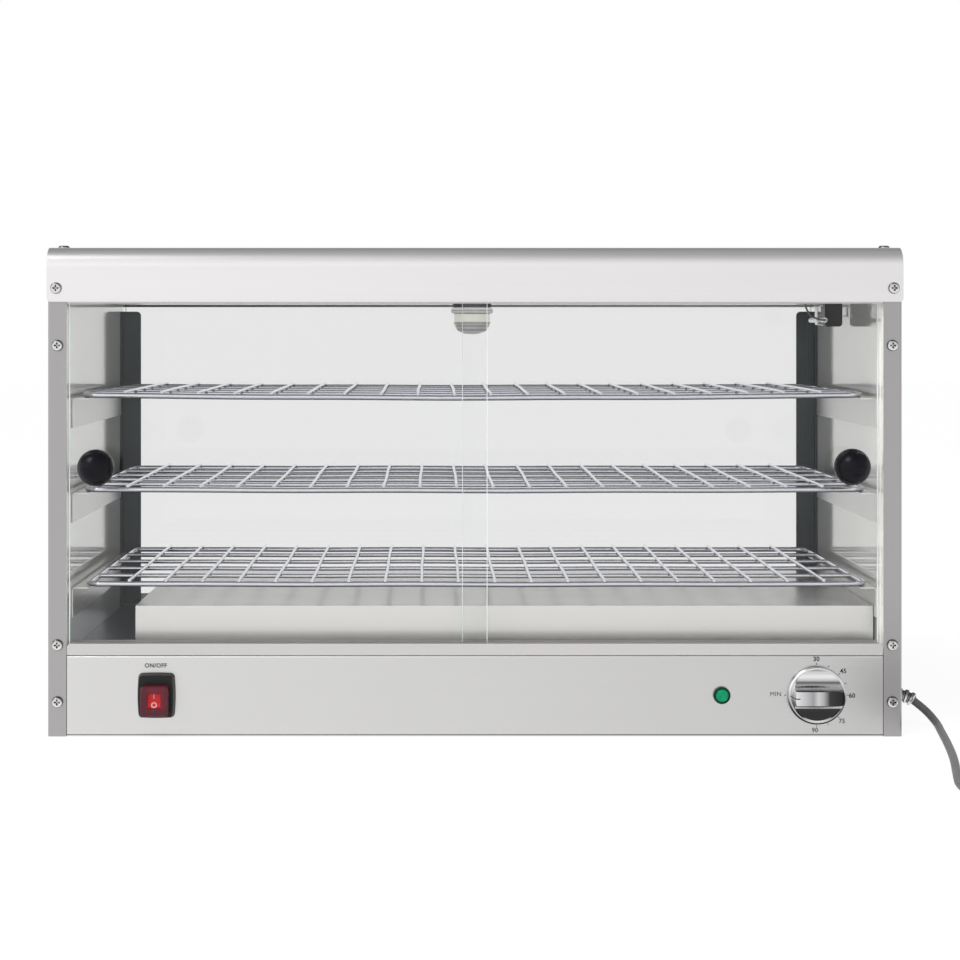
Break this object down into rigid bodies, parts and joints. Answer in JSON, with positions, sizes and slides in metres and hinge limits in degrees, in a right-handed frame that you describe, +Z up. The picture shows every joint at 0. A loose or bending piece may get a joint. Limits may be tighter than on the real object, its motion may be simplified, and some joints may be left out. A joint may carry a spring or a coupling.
{
  "type": "pie warmer cabinet",
  "caption": "Counter-top heated display cabinet: glazed front and back, sliding glass doors with ball handles, wire racks, a lamp, and a control base with switch, indicator and dial.",
  "frame": {"origin": "on the resting surface, under the middle of the cabinet", "axes": "+X to the right of someone facing the doors, +Y into the cabinet, +Z up"},
  "size_m": [0.8813, 0.6089, 0.4313],
  "materials": {
    "hood_steel": "bright brushed stainless, grain along X",
    "side_steel": "brushed stainless",
    "chamber_steel": "polished stainless",
    "base_steel": "brushed stainless, grain along X",
    "cover_steel": "brushed stainless, grain along X",
    "track_metal": "satin",
    "post_metal": "dark satin",
    "bracket_steel": "satin",
    "rack_chrome": "bright",
    "screw_steel": "bright turned",
    "pane_glass": "clear float glass",
    "lamp_glass": "clear pressed glass",
    "handle_black": "high gloss black",
    "fitting_black": "satin black",
    "boot_clear": "soft clear",
    "rocker_red": "lit red",
    "indicator_green": "translucent green",
    "knob_chrome": "bright plated",
    "shaft_steel": "bright drawn",
    "element_steel": "heat-darkened",
    "lamp_can": "spun",
    "moulding_pale": "moulded off-white",
    "loom_white": "sleeved wire",
    "gland_metal": "nickel plated",
    "lead_grey": "smooth grey sheath",
    "plug_grey": "moulded grey",
    "pin_brass": "bright"
  },
  "bodies": {
    "cabinet": {"top_cover": "hood_steel", "left_side_panel": "side_steel", "right_side_panel": "side_steel", "left_inner_wall": "chamber_steel", "right_inner_wall": "chamber_steel", "ceiling_panel": "chamber_steel", "chamber_floor": "chamber_steel", "base_pan": "base_steel", "control_fascia": "base_steel", "rear_base_panel": "base_steel", "element_cover": "cover_steel", "door_sill_track": "track_metal", "door_head_track": "track_metal", "rear_sill_channel": "track_metal", "rear_head_channel": "track_metal", "left_rear_post": "post_metal", "right_rear_post": "post_metal", "shelf_bracket_left_low": "bracket_steel", "shelf_bracket_left_mid": "bracket_steel", "shelf_bracket_left_top": "bracket_steel", "shelf_bracket_right_low": "bracket_steel", "shelf_bracket_right_mid": "bracket_steel", "shelf_bracket_right_top": "bracket_steel", "rack_low": "rack_chrome", "rack_mid": "rack_chrome", "rack_top": "rack_chrome", "case_screws": "screw_steel", "bracket_studs": "screw_steel", "rear_glass": "pane_glass", "lamp_bulb": "lamp_glass", "probe_holder": "fitting_black", "rocker_housing": "fitting_black", "lamp_seal": "fitting_black", "rocker_boot": "boot_clear", "indicator_lens": "indicator_green", "probe_bulb": "shaft_steel", "probe_capillary": "shaft_steel", "probe_bracket": "shaft_steel", "element_clips": "shaft_steel", "heating_element": "element_steel", "lamp_holder": "lamp_can", "indicator_body": "moulding_pale", "thermostat_body": "moulding_pale", "terminal_block": "moulding_pale", "wiring_loom": "loom_white", "cable_gland": "gland_metal", "cord_lead": "lead_grey", "cord_coil": "lead_grey", "plug_body": "plug_grey", "plug_pins": "pin_brass"},
    "lamp_cap": {"lamp_glass": "lamp_glass"},
    "rocker": {"rocker_paddle": "rocker_red"},
    "knob": {"thermostat_knob": "knob_chrome", "thermostat_shaft": "shaft_steel"},
    "door_left": {"left_door_glass": "pane_glass", "left_door_knob": "handle_black", "left_door_screw": "screw_steel"},
    "door_right": {"right_door_glass": "pane_glass", "right_door_knob": "handle_black", "right_door_screw": "screw_steel"}
  },
  "joints": [
    {"name": "left_door_slide", "type": "slide", "parent": "cabinet", "child": "door_left", "axis": [1, 0, 0], "range_m": [0, 0.303]},
    {"name": "right_door_slide", "type": "slide", "parent": "cabinet", "child": "door_right", "axis": [1, 0, 0], "range_m": [-0.303, 0]},
    {"name": "rocker_pivot", "type": "hinge", "parent": "cabinet", "child": "rocker", "pos_m": [-0.2787, -0.172, 0.0334], "axis": [1, 0, 0], "range_deg": [0, 20]},
    {"name": "thermostat_turn", "type": "hinge", "parent": "cabinet", "child": "knob", "pos_m": [0.299, -0.175, 0.0362], "axis": [0, 1, 0], "range_deg": [0, 270]},
    {"name": "lamp_glass_turn", "type": "hinge", "parent": "cabinet", "child": "lamp_cap", "pos_m": [0, -0.041, 0.3717], "axis": [0, 0, 1], "range_deg": [0, 360]}
  ]
}
